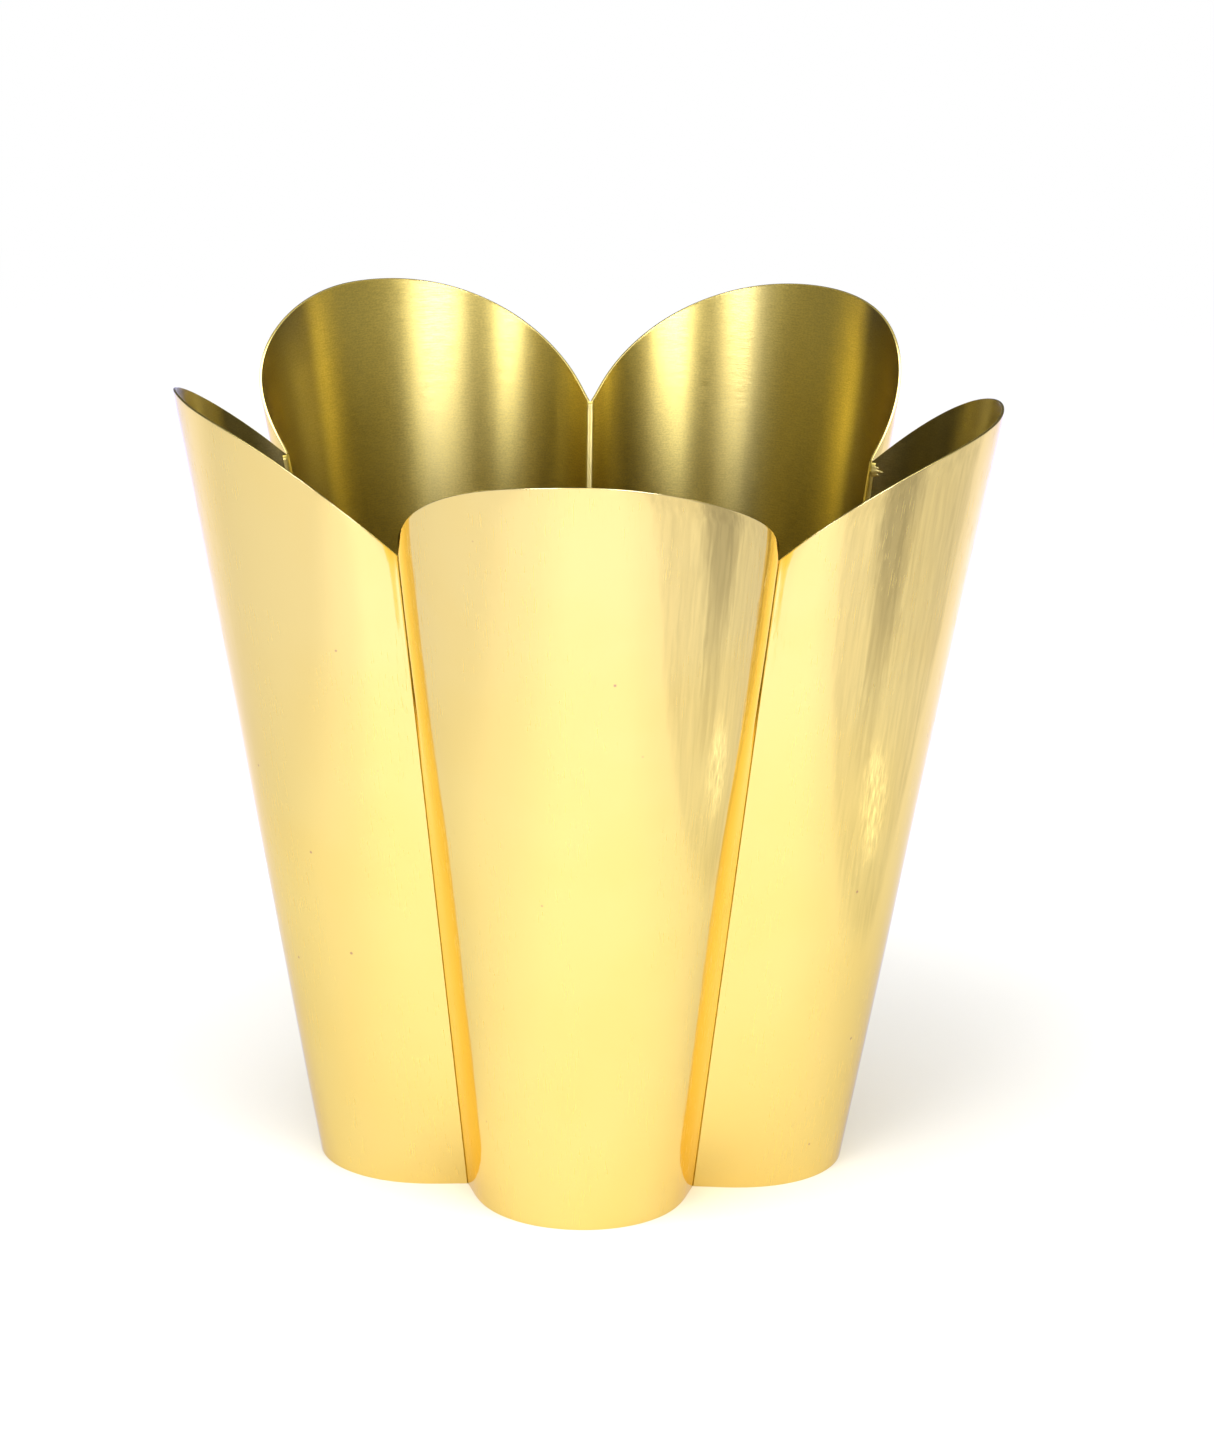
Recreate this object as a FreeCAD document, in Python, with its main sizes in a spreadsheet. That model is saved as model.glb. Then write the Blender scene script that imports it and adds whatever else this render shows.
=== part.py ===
import FreeCAD, Part

import math
import os

import Sketcher

# A planter pot of five flared sheet-brass petals, soldered edge to edge around a base plate.
# Origin: centre of the foot plane. +Z up. The front petal faces -Y. Millimetres.

# ---------------------------------------------------------------- driving dimensions

DIMENSIONS = {
    # Whole pot
    "peak_height": 260,           # floor to the highest point of each petal's rim
    "seam_height": 222,           # floor to the rim's low points, at the seams
    "foot_seam_radius": 62,       # centre to a seam, on the floor
    "foot_crown_radius": 88,      # centre to the middle of a petal, on the floor
    "peak_seam_radius": 107,      # the same two radii, at the height of the peaks
    "peak_crown_radius": 135,
    # Petals
    "sheet": 1.0,                 # gauge of the petal sheet
    "blank_height": 270,          # a petal's height before its rim is trimmed
    "rim_trim_radius": 317,       # radius of the trimming curve, seen from the petal's side
    "trim_overrun": 6,            # how far the trimming curve runs past the petal at each end
    # Base plate
    "base_height": 6,             # floor to the underside of the base plate
    "base_gauge": 1.5,
    "base_gap": 0.15,             # room between the base plate and the petals
    "core_inset": 1.3,            # how far the plate's round core stays inside the seams
    # Solder
    "solder_crown": 0.35,         # how far a seam's solder stands out of its V
    "solder_stop": 1.0,           # solder ends this far below the rim
    "bead_leg": 3.0,              # the bead under the base plate: its width there
    "bead_drop": 3.0,             # and how far it runs down the petals
    "bead_toe": 0.3,              # its width at the bottom
}

PETALS = {  # label: direction of the petal's middle, degrees from +X
    "petal_front": -90,
    "petal_right": -18,
    "petal_back_right": 54,
    "petal_back_left": 126,
    "petal_left": 198,
}

SEAMS = {  # label: direction of the seam
    "solder_seam_front_right": -54,
    "solder_seam_right": 18,
    "solder_seam_back": 90,
    "solder_seam_left": 162,
    "solder_seam_front_left": 234,
}

HALF_SECTOR = "(180 deg / %d)" % len(PETALS)  # angle from a petal's middle to its seam
TRIMMED_SHARE = 0.97  # a trimmed petal holds less than this share of its blank

doc = FreeCAD.newDocument("planter_pot")
sheet = doc.addObject("Spreadsheet::Sheet", "Dims")
for row, (alias, size) in enumerate(DIMENSIONS.items(), start=1):
    sheet.set("A%d" % row, alias)
    sheet.set("B%d" % row, str(size))
    sheet.setAlias("B%d" % row, alias)
doc.recompute()


# ---------------------------------------------------------------- helpers

def value(expression):
    """What an expression over the sheet comes to, in millimetres."""
    return float(sheet.evalExpression(expression))


def origin_feature(body, role):
    return next(f for f in body.Origin.OriginFeatures if f.Role == role)


def new_body(label, turn=0.0):
    """A body that carries its node's name, turned about the pot's axis by turn degrees."""
    body = doc.addObject("PartDesign::Body", label)
    body.Label = label
    up = FreeCAD.Vector(0, 0, 1)
    body.Placement = FreeCAD.Placement(FreeCAD.Vector(), FreeCAD.Rotation(up, turn))
    return body


def new_sketch(body, name, plane="XY_Plane", height=None, turn=0.0):
    """A sketch on one of the body's own planes, raised to a height and turned by turn degrees."""
    sketch = body.newObject("Sketcher::SketchObject", name)
    sketch.AttachmentSupport = [(origin_feature(body, plane), "")]
    sketch.MapMode = "FlatFace"
    up = FreeCAD.Vector(0, 0, 1)
    sketch.AttachmentOffset = FreeCAD.Placement(FreeCAD.Vector(), FreeCAD.Rotation(up, turn))
    if height is not None:
        sketch.setExpression("AttachmentOffset.Base.z", height)
    return sketch


def drive(sketch, constraint, expression):
    """Adds a dimension to the sketch and binds it to the sheet."""
    kind, geometry = constraint[0], constraint[1:]
    index = sketch.addConstraint(Sketcher.Constraint(kind, *geometry, value(expression)))
    sketch.setExpression("Constraints[%d]" % index, expression)


def join(sketch, *chain):
    """Makes each (geometry, point) coincide with the next one of its pair."""
    for (first, first_point), (second, second_point) in chain:
        sketch.addConstraint(
            Sketcher.Constraint("Coincident", first, first_point, second, second_point)
        )


START, END, CENTRE = 1, 2, 3  # the sketcher's numbers for a curve's own points
ORIGIN, X_AXIS = -1, -1       # and for the sketch's origin and horizontal axis


# ---------------------------------------------------------------- the lobed cross-section

def seam_radius(height):
    """Radius of the seams at a height: they lean out evenly from foot to rim."""
    return (
        "(Dims.foot_seam_radius + (Dims.peak_seam_radius - Dims.foot_seam_radius)"
        " * (%s) / Dims.peak_height)" % height
    )


def crown_radius(height):
    """Radius of the petals' middles at a height."""
    return (
        "(Dims.foot_crown_radius + (Dims.peak_crown_radius - Dims.foot_crown_radius)"
        " * (%s) / Dims.peak_height)" % height
    )


def lobe_centre(height):
    """Distance from the pot's axis to the centre of a lobe's half ellipse."""
    return "(%s * cos(%s))" % (seam_radius(height), HALF_SECTOR)


def half_ellipse(sketch, height, inset):
    """Adds a lobe's half ellipse, inset from the petals' outside, and returns its index.
    It starts on the -Y side and bulges towards +X, with its ends on the line through its centre."""
    centre = lobe_centre(height)
    depth = "(%s - %s - %s)" % (crown_radius(height), centre, inset)
    width = "(%s * sin(%s) - %s)" % (seam_radius(height), HALF_SECTOR, inset)
    cx, a, b = value(centre), value(depth), value(width)
    middle = FreeCAD.Vector(cx, 0, 0)
    crown = FreeCAD.Vector(cx + a, 0, 0)
    right_end = FreeCAD.Vector(cx, -b, 0)
    left_end = FreeCAD.Vector(cx, b, 0)
    deep = a > b
    if deep:
        arc = Part.ArcOfEllipse(Part.Ellipse(crown, left_end, middle), -math.pi / 2, math.pi / 2)
    else:
        arc = Part.ArcOfEllipse(Part.Ellipse(right_end, crown, middle), 0, math.pi)
    index = sketch.addGeometry(arc, False)
    sketch.exposeInternalGeometry(index)
    major, minor = index + 1, index + 2
    depth_line, width_line = (major, minor) if deep else (minor, major)
    sketch.addConstraint(Sketcher.Constraint("PointOnObject", index, CENTRE, X_AXIS))
    sketch.addConstraint(Sketcher.Constraint("Horizontal", depth_line))
    sketch.addConstraint(Sketcher.Constraint("PointOnObject", index, START, width_line))
    sketch.addConstraint(Sketcher.Constraint("PointOnObject", index, END, width_line))
    drive(sketch, ("DistanceX", ORIGIN, START, index, CENTRE), centre)
    drive(sketch, ("Distance", depth_line), "2 * %s" % depth)
    drive(sketch, ("Distance", width_line), "2 * %s" % width)
    return index


def crescent(body, name, height, outer_inset, inner_inset):
    """A sketch of the strip between two half ellipses of one lobe, square-cut at both ends."""
    sketch = new_sketch(body, name, height=height)
    outer = half_ellipse(sketch, height, outer_inset)
    inner = half_ellipse(sketch, height, inner_inset)
    for end in (START, END):
        line = sketch.addGeometry(
            Part.LineSegment(sketch.getPoint(outer, end), sketch.getPoint(inner, end)), False
        )
        join(sketch, ((line, START), (outer, end)), ((line, END), (inner, end)))
    return sketch


def ruled_loft(body, name, lower, upper):
    loft = body.newObject("PartDesign::AdditiveLoft", name)
    loft.Profile = lower
    loft.Sections = [upper]
    loft.Ruled = True
    return loft


def around_pot(body, name, features):
    """Repeats features once per petal, and makes the pattern the body's tip."""
    doc.recompute()
    pattern = body.newObject("PartDesign::PolarPattern", name)
    pattern.Originals = features
    pattern.Axis = (origin_feature(body, "Z_Axis"), [""])
    pattern.Angle = 360
    pattern.Occurrences = len(PETALS)
    body.Tip = pattern
    doc.recompute()
    return pattern


# ---------------------------------------------------------------- petals

def trim_profile(body):
    """Side view of what is cut off a petal's blank. The lower edge is an arc through the
    rim's low point, over the seam, and its peak, over the petal's middle."""
    low = (lobe_centre("Dims.seam_height"), "Dims.seam_height")
    peak = (crown_radius("Dims.peak_height"), "Dims.peak_height")
    (x0, z0), (x1, z1) = [(value(x), value(z)) for x, z in (low, peak)]
    radius = value("Dims.rim_trim_radius")
    overrun = value("Dims.trim_overrun")
    top = value("Dims.blank_height + Dims.trim_overrun")

    chord = math.hypot(x1 - x0, z1 - z0)
    drop = math.sqrt(radius ** 2 - chord ** 2 / 4)  # from the chord's middle to the arc's centre
    cx = (x0 + x1) / 2 + drop * (z1 - z0) / chord
    cz = (z0 + z1) / 2 - drop * (x1 - x0) / chord

    def on_arc(x):
        return FreeCAD.Vector(x, cz + math.sqrt(radius ** 2 - (x - cx) ** 2), 0)

    right, left = on_arc(x1 + overrun), on_arc(x0 - overrun)
    top_left = FreeCAD.Vector(left.x, top, 0)
    top_right = FreeCAD.Vector(right.x, top, 0)

    sketch = new_sketch(body, body.Name + "_trim", plane="XZ_Plane")
    circle = Part.Circle(FreeCAD.Vector(cx, cz, 0), FreeCAD.Vector(0, 0, 1), radius)
    ends = [math.atan2(p.y - cz, p.x - cx) for p in (right, left)]
    arc = sketch.addGeometry(Part.ArcOfCircle(circle, *ends), False)
    left_side = sketch.addGeometry(Part.LineSegment(left, top_left), False)
    top_side = sketch.addGeometry(Part.LineSegment(top_left, top_right), False)
    right_side = sketch.addGeometry(Part.LineSegment(top_right, right), False)
    join(
        sketch,
        ((arc, END), (left_side, START)),
        ((left_side, END), (top_side, START)),
        ((top_side, END), (right_side, START)),
        ((right_side, END), (arc, START)),
    )
    for side, direction in ((left_side, "Vertical"), (right_side, "Vertical"), (top_side, "Horizontal")):
        sketch.addConstraint(Sketcher.Constraint(direction, side))
    for x, z in (low, peak):
        point = sketch.addGeometry(Part.Point(FreeCAD.Vector(value(x), value(z), 0)), True)
        drive(sketch, ("DistanceX", ORIGIN, START, point, START), x)
        drive(sketch, ("DistanceY", ORIGIN, START, point, START), z)
        sketch.addConstraint(Sketcher.Constraint("PointOnObject", point, START, arc))
    drive(sketch, ("Radius", arc), "Dims.rim_trim_radius")
    drive(sketch, ("DistanceX", ORIGIN, START, arc, START), "%s + Dims.trim_overrun" % peak[0])
    drive(sketch, ("DistanceX", ORIGIN, START, arc, END), "%s - Dims.trim_overrun" % low[0])
    drive(sketch, ("DistanceY", ORIGIN, START, top_side, START), "Dims.blank_height + Dims.trim_overrun")
    return sketch


def make_petal(label, turn):
    """A flared half-round wall of sheet, trimmed to an arched rim."""
    body = new_body(label, turn)
    foot = crescent(body, label + "_foot", "0", "0", "Dims.sheet")
    top = crescent(body, label + "_top", "Dims.blank_height", "0", "Dims.sheet")
    blank = ruled_loft(body, label + "_blank", foot, top)
    doc.recompute()
    blank_volume = blank.Shape.Volume
    rim = body.newObject("PartDesign::Pocket", label + "_rim")
    rim.Profile = trim_profile(body)
    rim.Type = "ThroughAll"
    rim.Midplane = True
    doc.recompute()
    if rim.Shape.Volume > TRIMMED_SHARE * blank_volume:
        raise RuntimeError("%s: trimming the rim removed nothing" % label)
    return body


# ---------------------------------------------------------------- base plate

def make_base_plate(turn):
    """A lobed plate that drops in between the petals: a round core and one lobe, patterned."""
    body = new_body("base_plate", turn)
    core_sketch = new_sketch(body, "base_core_outline", height="Dims.base_height")
    core_radius = "%s - Dims.core_inset" % seam_radius("Dims.base_height")
    circle = Part.Circle(FreeCAD.Vector(), FreeCAD.Vector(0, 0, 1), value(core_radius))
    core_circle = core_sketch.addGeometry(circle, False)
    join(core_sketch, ((core_circle, CENTRE), (ORIGIN, START)))
    drive(core_sketch, ("Radius", core_circle), core_radius)
    core = body.newObject("PartDesign::Pad", "base_core")
    core.Profile = core_sketch
    core.setExpression("Length", "Dims.base_gauge")

    lobe_sketch = new_sketch(body, "base_lobe_outline", height="Dims.base_height")
    arc = half_ellipse(lobe_sketch, "Dims.base_height", "(Dims.sheet + Dims.base_gap)")
    for end in (START, END):
        side = lobe_sketch.addGeometry(
            Part.LineSegment(FreeCAD.Vector(), lobe_sketch.getPoint(arc, end)), False
        )
        join(lobe_sketch, ((side, START), (ORIGIN, START)), ((side, END), (arc, end)))
    lobe = body.newObject("PartDesign::Pad", "base_lobe")
    lobe.Profile = lobe_sketch
    lobe.setExpression("Length", "Dims.base_gauge")
    around_pot(body, "base_lobes", [lobe])
    return body


# ---------------------------------------------------------------- solder

def across_seam(height, distance):
    """Where the cut edges of two neighbouring petals are, distance in from the seam's point:
    how far out along the seam's direction, and how far apart."""
    out = "(%s - %s * sin(%s))" % (seam_radius(height), distance, HALF_SECTOR)
    apart = "(2 * %s * cos(%s))" % (distance, HALF_SECTOR)
    return out, apart


def lip_points(height, distance):
    out, apart = across_seam(height, distance)
    return [FreeCAD.Vector(value(out), side * value(apart) / 2, 0) for side in (1, -1)]


def place_pair(sketch, upper, lower, height, distance):
    """Fixes two (geometry, point) ends to the cut edges, one on each side of the X axis."""
    out, apart = across_seam(height, distance)
    sketch.addConstraint(Sketcher.Constraint("Vertical", *lower, *upper))
    drive(sketch, ("DistanceX", ORIGIN, START, *upper), out)
    drive(sketch, ("DistanceY", ORIGIN, START, *upper), "%s / 2" % apart)
    drive(sketch, ("DistanceY", *lower, *upper), apart)


def solder_face(sketch, height):
    """The crowned face of a seam's solder, from one sheet's inner corner to the other's."""
    half_apart = "(Dims.sheet * cos(%s))" % HALF_SECTOR
    radius = "((%s ^ 2 + Dims.solder_crown ^ 2) / (2 * Dims.solder_crown))" % half_apart
    upper, lower = lip_points(height, "Dims.sheet")
    middle = FreeCAD.Vector(upper.x - value("Dims.solder_crown") + value(radius), 0, 0)
    circle = Part.Circle(middle, FreeCAD.Vector(0, 0, 1), value(radius))
    ends = [math.atan2(lip.y, lip.x - middle.x) % (2 * math.pi) for lip in (upper, lower)]
    arc = sketch.addGeometry(Part.ArcOfCircle(circle, *ends), False)
    place_pair(sketch, (arc, START), (arc, END), height, "Dims.sheet")
    drive(sketch, ("Radius", arc), radius)
    return arc


def seam_section(body, name, height):
    """The V between two square-cut sheet edges, filled a little proud of its lips."""
    sketch = new_sketch(body, name, height=height)
    arc = solder_face(sketch, height)
    point = FreeCAD.Vector(value(seam_radius(height)), 0, 0)
    sides = [
        sketch.addGeometry(Part.LineSegment(point, sketch.getPoint(arc, end)), False)
        for end in (START, END)
    ]
    join(
        sketch,
        ((sides[0], END), (arc, START)),
        ((sides[1], END), (arc, END)),
        ((sides[0], START), (sides[1], START)),
    )
    sketch.addConstraint(Sketcher.Constraint("PointOnObject", sides[0], START, X_AXIS))
    drive(sketch, ("DistanceX", ORIGIN, START, sides[0], START), seam_radius(height))
    return sketch


def make_seam(label, turn):
    """The solder that fills one seam from the floor to just below the rim."""
    body = new_body(label, turn)
    foot = seam_section(body, label + "_foot", "0")
    top = seam_section(body, label + "_top", "(Dims.seam_height - Dims.solder_stop)")
    ruled_loft(body, label + "_fill", foot, top)
    doc.recompute()
    return body


def corner_section(body, name, height, width):
    """The bead's section where it turns round a seam, from one petal's cut edge to the next."""
    sketch = new_sketch(body, name, height=height, turn=180 / len(PETALS))
    reach = "(Dims.sheet + %s)" % width
    arc = solder_face(sketch, height)
    upper, lower = lip_points(height, reach)
    near = sketch.addGeometry(Part.LineSegment(sketch.getPoint(arc, START), upper), False)
    across = sketch.addGeometry(Part.LineSegment(upper, lower), False)
    far = sketch.addGeometry(Part.LineSegment(lower, sketch.getPoint(arc, END)), False)
    join(
        sketch,
        ((near, START), (arc, START)),
        ((near, END), (across, START)),
        ((across, END), (far, START)),
        ((far, END), (arc, END)),
    )
    place_pair(sketch, (across, START), (across, END), height, reach)
    return sketch


def make_bead(turn):
    """One closed bead of solder in the corner under the base plate, round all the petals."""
    body = new_body("base_solder_bead", turn)
    levels = (
        ("toe", "(Dims.base_height - Dims.bead_drop)", "Dims.bead_toe"),
        ("top", "Dims.base_height", "Dims.bead_leg"),
    )
    along = [
        crescent(body, "bead_" + name, height, "Dims.sheet", "(Dims.sheet + %s)" % width)
        for name, height, width in levels
    ]
    corner = [
        corner_section(body, "bead_corner_" + name, height, width)
        for name, height, width in levels
    ]
    run = ruled_loft(body, "bead_run", *along)
    turn_piece = ruled_loft(body, "bead_corner", *corner)
    around_pot(body, "bead_round", [run, turn_piece])
    return body


# ---------------------------------------------------------------- build, check and write

nodes = [make_petal(label, turn) for label, turn in PETALS.items()]
nodes.append(make_base_plate(PETALS["petal_front"]))
nodes.append(make_bead(PETALS["petal_front"]))
nodes += [make_seam(label, turn) for label, turn in SEAMS.items()]
doc.recompute()

for item in doc.Objects:
    if "Invalid" in item.State or "Error" in item.State:
        raise RuntimeError("%s failed: %s" % (item.Label, item.State))
for node in nodes:
    shape = node.Shape
    if shape.isNull() or not shape.isValid() or len(shape.Solids) != 1:
        raise RuntimeError("%s is not one valid solid" % node.Label)

os.makedirs("parts", exist_ok=True)
for node in nodes:
    node.Shape.exportStep(os.path.join("parts", node.Label + ".step"))
    print("%-26s %9.0f mm3" % (node.Label, node.Shape.Volume))
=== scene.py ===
import math

import bpy
from mathutils import Matrix, Vector, noise


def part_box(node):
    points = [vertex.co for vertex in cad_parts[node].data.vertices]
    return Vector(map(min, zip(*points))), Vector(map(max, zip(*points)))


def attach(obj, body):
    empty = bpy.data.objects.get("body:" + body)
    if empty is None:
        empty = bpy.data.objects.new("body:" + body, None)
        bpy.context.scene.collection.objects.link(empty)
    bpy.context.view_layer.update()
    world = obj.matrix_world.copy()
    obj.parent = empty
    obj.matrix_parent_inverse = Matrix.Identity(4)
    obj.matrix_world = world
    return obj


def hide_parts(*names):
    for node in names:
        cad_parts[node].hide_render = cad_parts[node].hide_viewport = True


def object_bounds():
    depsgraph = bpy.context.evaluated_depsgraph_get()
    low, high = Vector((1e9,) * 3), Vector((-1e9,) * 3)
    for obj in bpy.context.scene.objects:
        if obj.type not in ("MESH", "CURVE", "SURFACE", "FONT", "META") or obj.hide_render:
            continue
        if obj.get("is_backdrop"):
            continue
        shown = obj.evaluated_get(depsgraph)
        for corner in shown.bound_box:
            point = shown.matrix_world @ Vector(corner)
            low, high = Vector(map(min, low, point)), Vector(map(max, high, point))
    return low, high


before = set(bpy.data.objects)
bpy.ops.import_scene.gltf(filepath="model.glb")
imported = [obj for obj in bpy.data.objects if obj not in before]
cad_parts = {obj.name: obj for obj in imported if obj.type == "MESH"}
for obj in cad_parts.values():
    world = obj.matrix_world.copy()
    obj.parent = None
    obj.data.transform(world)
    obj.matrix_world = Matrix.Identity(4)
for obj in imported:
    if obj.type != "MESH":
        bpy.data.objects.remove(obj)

cad_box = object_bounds()

# A five-petal sheet-brass planter pot: polished outside, brushed inside. Metres, +Z up.

MM = 0.001
PETALS = {  # node: direction of the petal's middle, degrees from +X
    "petal_front": -90,
    "petal_right": -18,
    "petal_back_right": 54,
    "petal_back_left": 126,
    "petal_left": 198,
}
# What the hands that rolled and sheared the petals left, in mm: how much higher each rim is on its clockwise
# side, at its peak and on its other side, then how much slimmer its two flanks are, clockwise first.
HAND_WORK = {
    "petal_front": (1.35, 0.0, -1.35, 0.0, 0.4),
    "petal_right": (-0.3, -4.6, 1.4, 0.0, 0.0),
    "petal_back_right": (-0.3, 0.0, 0.3, 2.2, 0.7),
    "petal_back_left": (0.8, 0.0, -1.6, 1.0, 0.8),
    "petal_left": (-0.8, 0.0, 2.3, 0.0, 0.3),
}
SEAMS = {  # node: direction of the seam
    "solder_seam_front_right": -54,
    "solder_seam_right": 18,
    "solder_seam_back": 90,
    "solder_seam_left": 162,
    "solder_seam_front_left": 234,
}
HALF_SECTOR = math.pi / len(PETALS)
SHEET = 1.0 * MM
BASE_GAP = 0.15 * MM      # room between the base plate and the petals
SOLDER_STOP = 1.0 * MM    # the solder nodes end this far below the rim
FLAT_LEAN = 0.30          # slope of the flat ends, against a true half ellipse
FLAT_FOOT = 12.5 * MM     # how far they reach, at the foot and at the seam's top
FLAT_TOP = 2.6 * MM
FLAT_CHANGE = (0.095, 0.205)  # heights between which the reach changes
V_DEPTH = SHEET * math.sin(HALF_SECTOR)       # of the V between two square-cut sheets
V_HALF_WIDTH = SHEET * math.cos(HALF_SECTOR)

# ---------------------------------------------------------------- the pot's form, read from the frame

front_low, front_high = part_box("petal_front")
_back_seam_low, back_seam_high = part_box("solder_seam_back")
bead_low, bead_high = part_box("base_solder_bead")
plate_low, plate_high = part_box("base_plate")

PEAK_Z = front_high.z
SEAM_Z = back_seam_high.z + SOLDER_STOP
SEAM_FOOT = -front_high.y / math.cos(HALF_SECTOR)
SEAM_LEAN = (back_seam_high.y - SEAM_FOOT) / back_seam_high.z
CROWN_PEAK = -front_low.y
CROWN_AT_BEAD = -bead_low.y + SHEET
CROWN_LEAN = (CROWN_PEAK - CROWN_AT_BEAD) / (PEAK_Z - bead_high.z)
CROWN_FOOT = CROWN_PEAK - CROWN_LEAN * PEAK_Z


def seam_radius(z):
    """How far the seams are from the axis, on the petals' outside."""
    return SEAM_FOOT + SEAM_LEAN * z


def crown_radius(z):
    """How far the petals' middles are from it."""
    return CROWN_FOOT + CROWN_LEAN * z


def rim_height(angle):
    """Height of the rim where a lobe's half ellipse has this angle, 0 at the petal's middle."""
    across = angle / (math.pi / 2)
    return SEAM_Z + (PEAK_Z - SEAM_Z) * (1 - across * across)


def flat_end(distance, z):
    """How far a petal's wall leans in beside its cut edges, where rolling left the sheet flat."""
    share = min(1.0, max(0.0, (z - FLAT_CHANGE[0]) / (FLAT_CHANGE[1] - FLAT_CHANGE[0])))
    reach = FLAT_FOOT + (FLAT_TOP - FLAT_FOOT) * share * share * (3 - 2 * share)
    return FLAT_LEAN * distance * math.exp(-distance / reach)


def lobe_point(angle, z, inset):
    """A point of a lobe that faces +X, inset from the petal's outside."""
    centre = seam_radius(z) * math.cos(HALF_SECTOR)
    depth = crown_radius(z) - centre - inset
    width = seam_radius(z) * math.sin(HALF_SECTOR) - inset
    forward = depth * math.cos(angle)
    aside = width * math.sin(angle)
    aside -= flat_end(abs(forward), z) * math.sin(angle)
    return Vector((centre + forward, aside, z))


def lobe_depth(z):
    """How far a petal's middle stands out from the line between its two seams."""
    return crown_radius(z) - seam_radius(z) * math.cos(HALF_SECTOR)


SEAM_PULL = 3.4 * MM      # the side seams' tops were pulled over to -X by this much
PULLED_AT = 72            # degrees from the back seam to either of them
PULLED_WIDTH = (20, 15)   # how wide that is felt, in degrees, towards the back and the front


def pulled_over(point):
    """Where a point of the ideal form lies after the pot's sides were pulled over while it was soldered."""
    x, y, z = point
    off = abs(math.degrees(math.atan2(y, x)) - 90)
    off = min(off, 360 - off) - PULLED_AT
    width = PULLED_WIDTH[0] if off < 0 else PULLED_WIDTH[1]
    share = math.exp(-((off / width) ** 2)) * (z / SEAM_Z) ** 2
    return (x - SEAM_PULL * share, y, z)


# ---------------------------------------------------------------- mesh helpers

UV_NAME = "metres"


def add_mesh(name, verts, faces, uvs=None, slots=None, materials=()):
    """A new smooth-shaded object. uvs holds one pair per vertex, slots one material index per face."""
    mesh = bpy.data.meshes.new(name)
    mesh.from_pydata([pulled_over(v) for v in verts], [], faces)
    for material in materials:
        mesh.materials.append(material)
    mesh.polygons.foreach_set("use_smooth", [True] * len(faces))
    if slots is not None:
        mesh.polygons.foreach_set("material_index", slots)
    if uvs is not None:
        layer = mesh.uv_layers.new(name=UV_NAME)
        for loop in mesh.loops:
            layer.data[loop.index].uv = uvs[loop.vertex_index]
    mesh.update()
    piece = bpy.data.objects.new(name, mesh)
    bpy.context.scene.collection.objects.link(piece)
    return piece


def turn_about_axis(point, degrees):
    return Matrix.Rotation(math.radians(degrees), 3, "Z") @ point


# ---------------------------------------------------------------- material helpers

class Graph:
    """A material's or world's node tree, built in code."""

    def __init__(self, tree):
        self.tree = tree
        tree.nodes.clear()

    def add(self, kind, inputs=None, **settings):
        node = self.tree.nodes.new("ShaderNode" + kind)
        for name, setting in settings.items():
            setattr(node, name, setting)
        for name, source in (inputs or {}).items():
            self.feed(node.inputs[name], source)
        return node

    def feed(self, socket, source):
        """Links a socket to another node's output, or sets its value."""
        if isinstance(source, bpy.types.NodeSocket):
            self.tree.links.new(source, socket)
        else:
            socket.default_value = source

    def math(self, operation, first, second=0.0, third=0.0):
        return self.add("Math", {0: first, 1: second, 2: third}, operation=operation).outputs[0]

    def vector(self, x, y, z=0.0):
        return self.add("CombineXYZ", {"X": x, "Y": y, "Z": z}).outputs[0]

    def noise(self, vector, scale, detail=2.0, roughness=0.5, dimensions="3D"):
        return self.add(
            "TexNoise",
            {"Vector": vector, "Scale": scale, "Detail": detail, "Roughness": roughness},
            noise_dimensions=dimensions,
        ).outputs["Fac"]

    def span(self, source, low, high, out_low=0.0, out_high=1.0):
        """Maps low..high onto out_low..out_high, smoothly and clamped."""
        return self.add(
            "MapRange",
            {"Value": source, "From Min": low, "From Max": high, "To Min": out_low, "To Max": out_high},
            interpolation_type="SMOOTHSTEP",
        ).outputs["Result"]

    def mix(self, factor, first, second):
        """Mixes two colours."""
        node = self.add("Mix", data_type="RGBA")
        for number, source in ((0, factor), (6, first), (7, second)):
            self.feed(node.inputs[number], source)
        return node.outputs[2]

    def metal(self, colour, rough, height, strength=1.0, distance=1.0, more=None):
        """Ends the tree in a metal. The bump's height is in metres where strength and distance are 1."""
        bump = self.add("Bump", {"Strength": strength, "Distance": distance, "Height": height})
        inputs = {"Base Color": colour, "Metallic": 1.0, "Roughness": rough, "Normal": bump.outputs[0]}
        shader = self.add("BsdfPrincipled", {**inputs, **(more or {})})
        self.add("OutputMaterial", {"Surface": shader.outputs[0]})


def new_material(name):
    material = bpy.data.materials.new(name)
    material.use_nodes = True
    graph = Graph(material.node_tree)
    return material, graph


def sheet_noise(graph, cells, detail, roughness):
    """Noise over the sheet. cells holds how many lie in a metre of the UV's two directions."""
    uv = graph.add("UVMap", uv_map=UV_NAME).outputs["UV"]
    parts = graph.add("SeparateXYZ", {0: uv})
    across = graph.math("MULTIPLY", parts.outputs["X"], cells[0])
    along = graph.math("MULTIPLY", parts.outputs["Y"], cells[1])
    return graph.noise(graph.vector(across, along), 1.0, detail, roughness, "2D")


def turned_from_middle(graph):
    """How far round its half ellipse a point of a petal is, in radians from the middle."""
    uv = graph.add("UVMap", uv_map=UV_NAME).outputs["UV"]
    along = graph.add("SeparateXYZ", {0: uv}).outputs["X"]
    number = graph.math("ROUND", graph.math("DIVIDE", along, UV_PETAL_STEP))
    offset = graph.math("SUBTRACT", along, graph.math("MULTIPLY", number, UV_PETAL_STEP))
    return graph.math("DIVIDE", graph.math("ABSOLUTE", offset), UV_TURN)


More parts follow.
